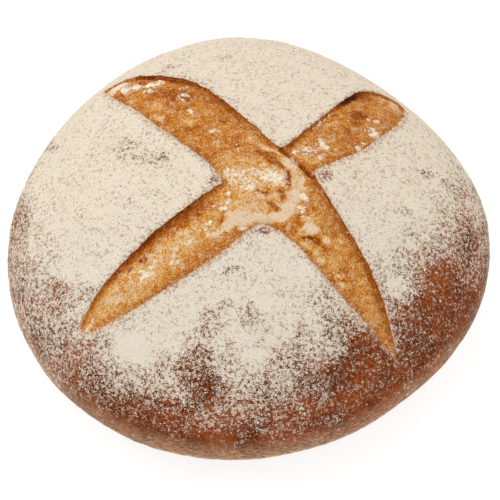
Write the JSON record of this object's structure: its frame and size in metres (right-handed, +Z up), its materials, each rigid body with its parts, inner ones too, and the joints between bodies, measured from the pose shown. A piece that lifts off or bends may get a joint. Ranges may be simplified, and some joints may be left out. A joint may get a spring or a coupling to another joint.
{
  "type": "sourdough loaf",
  "caption": "Round domed sourdough loaf with a flour-dusted browned crust, a cross cut open in its top and a flat underside it rests on.",
  "frame": {"origin": "on the flat underside, under the middle of the loaf's box", "axes": "+Z up through the crown, +X to the right and +Y to the back, with the cross cut running between the four corners"},
  "size_m": [0.2366, 0.2296, 0.0922],
  "materials": {
    "crust": "matt browned bread crust dusted with flour"
  },
  "bodies": {
    "root": {"loaf": "crust"}
  },
  "joints": []
}
